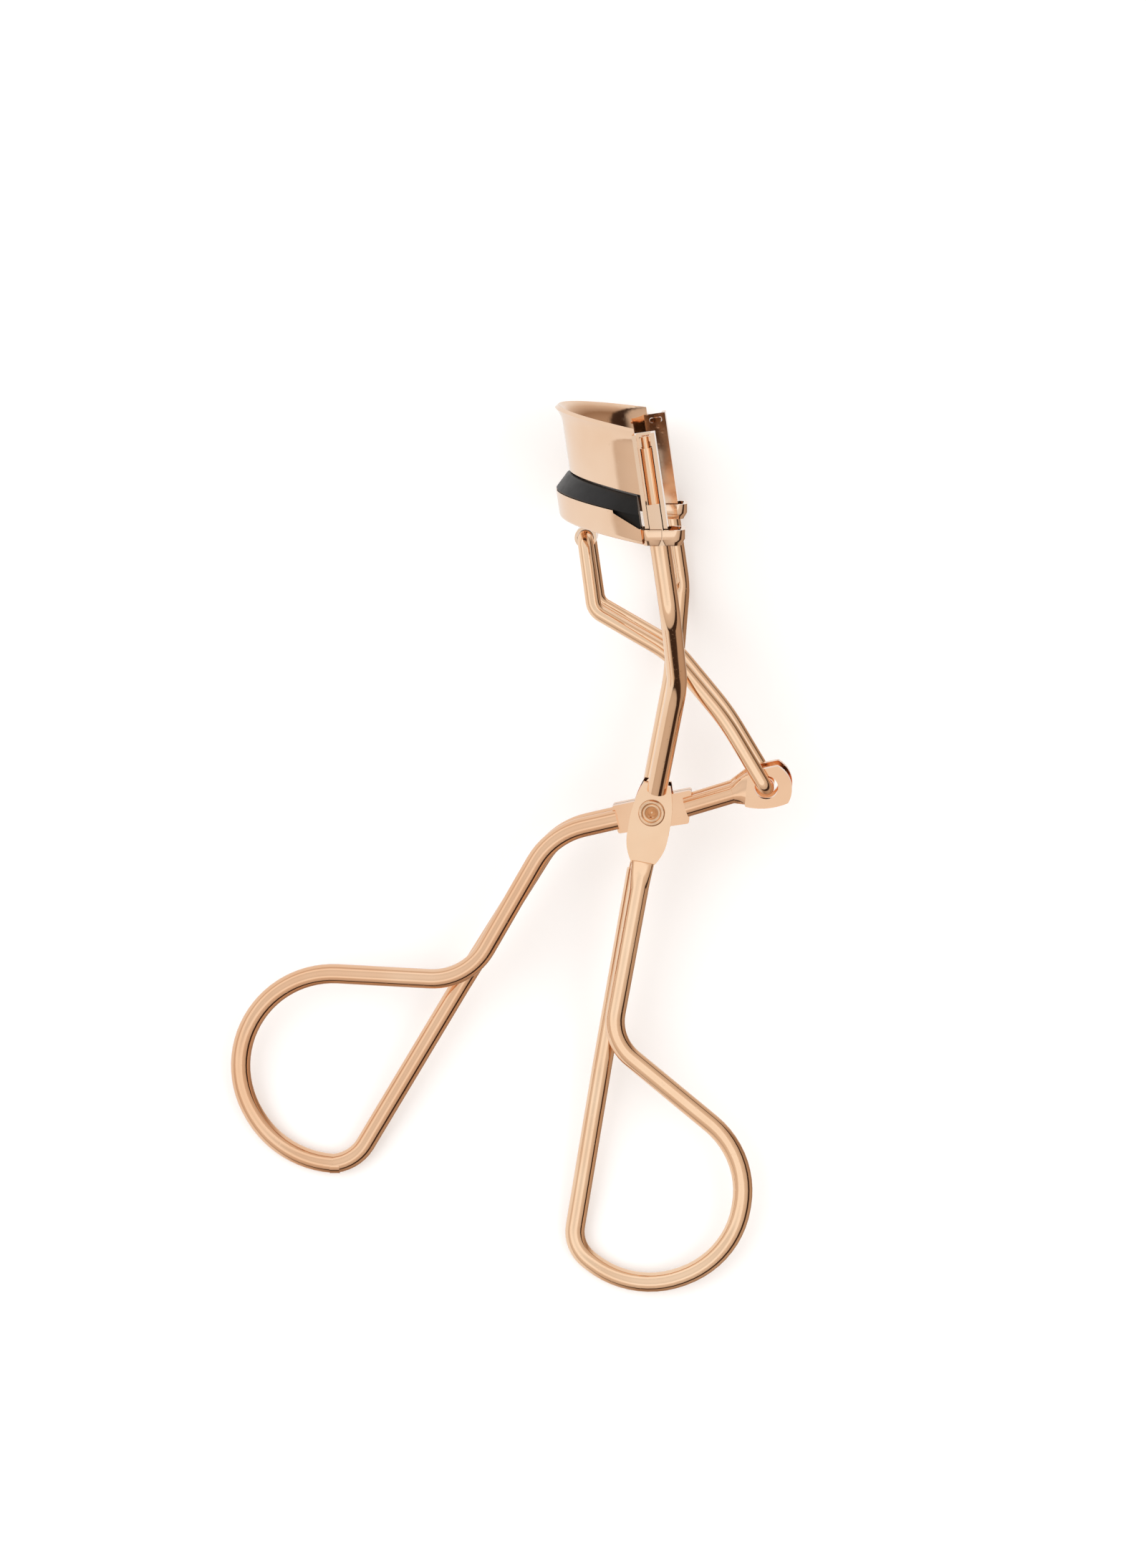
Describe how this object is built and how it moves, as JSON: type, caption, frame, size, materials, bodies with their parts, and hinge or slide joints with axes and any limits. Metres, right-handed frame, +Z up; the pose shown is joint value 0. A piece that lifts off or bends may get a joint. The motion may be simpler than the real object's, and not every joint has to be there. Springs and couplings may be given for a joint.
{
  "type": "eyelash curler",
  "caption": "Scissor-style eyelash curler: an arched sheet plate closes on a rubber strip in a sliding lower jaw, driven by a looped wire lever.",
  "frame": {"origin": "centre of the footprint box on the table that the closed curler lies on, on its far side", "axes": "+Y along the handles towards the jaws, +Z up from the table; the curler's mid-plane leans about 10 degrees on it"},
  "size_m": [0.0672, 0.1068, 0.0345],
  "materials": {
    "plated_wire": "polished rose-gold plating on drawn steel wire",
    "plated_sheet": "polished rose-gold plating on stamped steel sheet",
    "plated_rivet": "polished rose-gold plating on a turned rivet",
    "lash_rubber": "black moulded silicone rubber, slightly glossy"
  },
  "bodies": {
    "frame": {"frame_handle": "plated_wire", "upper_jaw": "plated_sheet", "pivot_rivet": "plated_rivet"},
    "lever": {"lever_handle": "plated_wire"},
    "jaw": {"lower_jaw": "plated_sheet", "lash_pad": "lash_rubber", "link_bracket": "plated_sheet"},
    "link": {"link_yoke": "plated_wire"}
  },
  "joints": [
    {"name": "lever_pivot", "type": "hinge", "parent": "frame", "child": "lever", "pos_m": [0.01697, 0.00481, 0.01113], "axis": [0.0635, 0.1671, -0.9839], "range_deg": [0, 27]},
    {"name": "jaw_slide", "type": "slide", "parent": "frame", "child": "jaw", "axis": [0.1459, -0.9768, -0.1565], "range_m": [0, 0.0061]},
    {"name": "link_pivot", "type": "hinge", "parent": "jaw", "child": "link", "pos_m": [0.00915, 0.03694, 0.01608], "axis": [0.0635, 0.1671, -0.9839], "range_deg": [0, 1.2]}
  ],
  "couplings": [
    {"joint": "jaw_slide", "follows": "lever_pivot", "m_per_rad": 0.01288},
    {"joint": "link_pivot", "follows": "lever_pivot", "ratio": 0.044}
  ]
}
